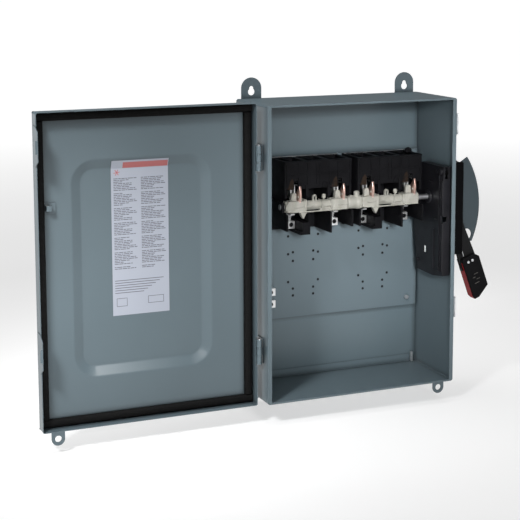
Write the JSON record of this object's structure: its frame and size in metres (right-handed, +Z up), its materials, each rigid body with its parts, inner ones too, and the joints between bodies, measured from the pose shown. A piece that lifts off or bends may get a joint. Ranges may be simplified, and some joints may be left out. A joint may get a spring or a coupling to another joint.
{
  "type": "ac disconnect box",
  "caption": "Wall-mounted steel safety switch enclosure with hinged door, knife-blade switch on rotating crossbars, side handle, draw latches and ground lugs.",
  "frame": {"origin": "on the wall plane at the back faces of the mounting tabs, centred between them and level with the bottom of the box", "axes": "+X to the right as seen from the front, +Y into the wall, +Z up; the door stands fully open and the handle is off"},
  "size_m": [1.0275, 0.172, 0.709],
  "materials": {
    "enamel": "satin baked enamel, blue-grey",
    "galvanised": "satin grey over zinc-plated steel",
    "base_moulding": "matt black thermoset moulding",
    "housing_moulding": "satin black moulding",
    "hood_moulding": "satin black paint",
    "crossbar_moulding": "cream thermoset moulding",
    "copper_blade": "bright copper alloy",
    "tinned": "bright tin plate",
    "zinc": "bright zinc plate",
    "steel": "plated steel",
    "black_steel": "black oxide steel",
    "grip_black": "satin black moulding",
    "grip_red": "dark red moulding",
    "foam": "black closed-cell foam",
    "label": "satin printed sheet",
    "white_flag": "matt white moulding"
  },
  "bodies": {
    "root": {"enclosure_box": "enamel", "wall_tab_top_left": "enamel", "wall_tab_top_right": "enamel", "wall_tab_bottom_left": "enamel", "wall_tab_bottom_right": "enamel", "mounting_pan": "galvanised", "panel_screws": "zinc", "line_base_left": "base_moulding", "line_base_right": "base_moulding", "load_base_left": "base_moulding", "load_base_right": "base_moulding", "line_terminal_1": "tinned", "line_terminal_2": "tinned", "line_terminal_3": "tinned", "line_terminal_4": "tinned", "load_terminal_1": "tinned", "load_terminal_2": "tinned", "load_terminal_3": "tinned", "load_terminal_4": "tinned", "line_lugs": "tinned", "load_lugs": "tinned", "lug_screws": "zinc", "rotor_bearing": "base_moulding", "mechanism_housing": "housing_moulding", "drive_spring": "steel", "trip_flag": "white_flag", "ground_bar": "tinned", "handle_hood": "hood_moulding", "handle_pivot_pin": "steel", "guard_plate": "enamel", "box_hinge_leaf_upper": "enamel", "box_hinge_leaf_lower": "enamel", "hinge_pin_upper": "steel", "hinge_pin_lower": "steel", "latch_base_upper": "zinc", "latch_base_lower": "zinc", "padlock_loop": "enamel"},
    "door": {"door_panel": "enamel", "door_gasket": "foam", "label_plate": "label", "interlock_catch": "enamel", "door_hinge_leaf_upper": "enamel", "door_hinge_leaf_lower": "enamel", "keeper_upper": "enamel", "keeper_lower": "enamel", "door_padlock_tab": "enamel"},
    "handle": {"handle_arm": "enamel", "handle_grip": "grip_black", "grip_insert": "grip_red", "handle_screws": "zinc"},
    "rotor": {"crossbar": "crossbar_moulding", "rotor_blades": "copper_blade", "rotor_shaft": "steel", "crank_lever": "steel"},
    "slide": {"drive_slide": "steel"},
    "hook": {"interlock_hook": "black_steel"},
    "lever_upper": {"latch_lever_upper": "zinc"},
    "bail_upper": {"latch_bail_upper": "zinc"},
    "lever_lower": {"latch_lever_lower": "zinc"},
    "bail_lower": {"latch_bail_lower": "zinc"}
  },
  "joints": [
    {"name": "door_hinge", "type": "hinge", "parent": "root", "child": "door", "pos_m": [-0.2299, -0.1525, 0.31], "axis": [0, 0, 1], "range_deg": [0, 180]},
    {"name": "handle_pivot", "type": "hinge", "parent": "root", "child": "handle", "pos_m": [0.247, -0.112, 0.362], "axis": [0, -1, 0], "range_deg": [0, 140]},
    {"name": "rotor_turn", "type": "hinge", "parent": "root", "child": "rotor", "pos_m": [0, -0.095, 0.398], "axis": [-1, 0, 0], "range_deg": [0, 60.5]},
    {"name": "slide_travel", "type": "slide", "parent": "root", "child": "slide", "axis": [0, 0, -1], "range_m": [0, 0.0379], "deforming": ["drive_spring"]},
    {"name": "hook_turn", "type": "hinge", "parent": "root", "child": "hook", "pos_m": [0.205, -0.147, 0.452], "axis": [1, 0, 0], "range_deg": [0, 30.5]},
    {"name": "latch_lever_upper_turn", "type": "hinge", "parent": "root", "child": "lever_upper", "pos_m": [0.228, -0.106, 0.56], "axis": [0, 0, -1], "range_deg": [0, 120]},
    {"name": "latch_bail_upper_turn", "type": "hinge", "parent": "lever_upper", "child": "bail_upper", "pos_m": [0.236, -0.1, 0.56], "axis": [0, 0, 1], "range_deg": [0, 157]},
    {"name": "latch_lever_lower_turn", "type": "hinge", "parent": "root", "child": "lever_lower", "pos_m": [0.228, -0.106, 0.156], "axis": [0, 0, -1], "range_deg": [0, 120]},
    {"name": "latch_bail_lower_turn", "type": "hinge", "parent": "lever_lower", "child": "bail_lower", "pos_m": [0.236, -0.1, 0.156], "axis": [0, 0, 1], "range_deg": [0, 157]}
  ],
  "couplings": [
    {"joint": "rotor_turn", "follows": "handle_pivot", "ratio": 0.42857},
    {"joint": "slide_travel", "follows": "handle_pivot", "m_per_rad": 0.015388},
    {"joint": "hook_turn", "follows": "handle_pivot", "ratio": 0.21429},
    {"joint": "latch_bail_upper_turn", "follows": "latch_lever_upper_turn", "ratio": 1.3},
    {"joint": "latch_bail_lower_turn", "follows": "latch_lever_lower_turn", "ratio": 1.3}
  ]
}
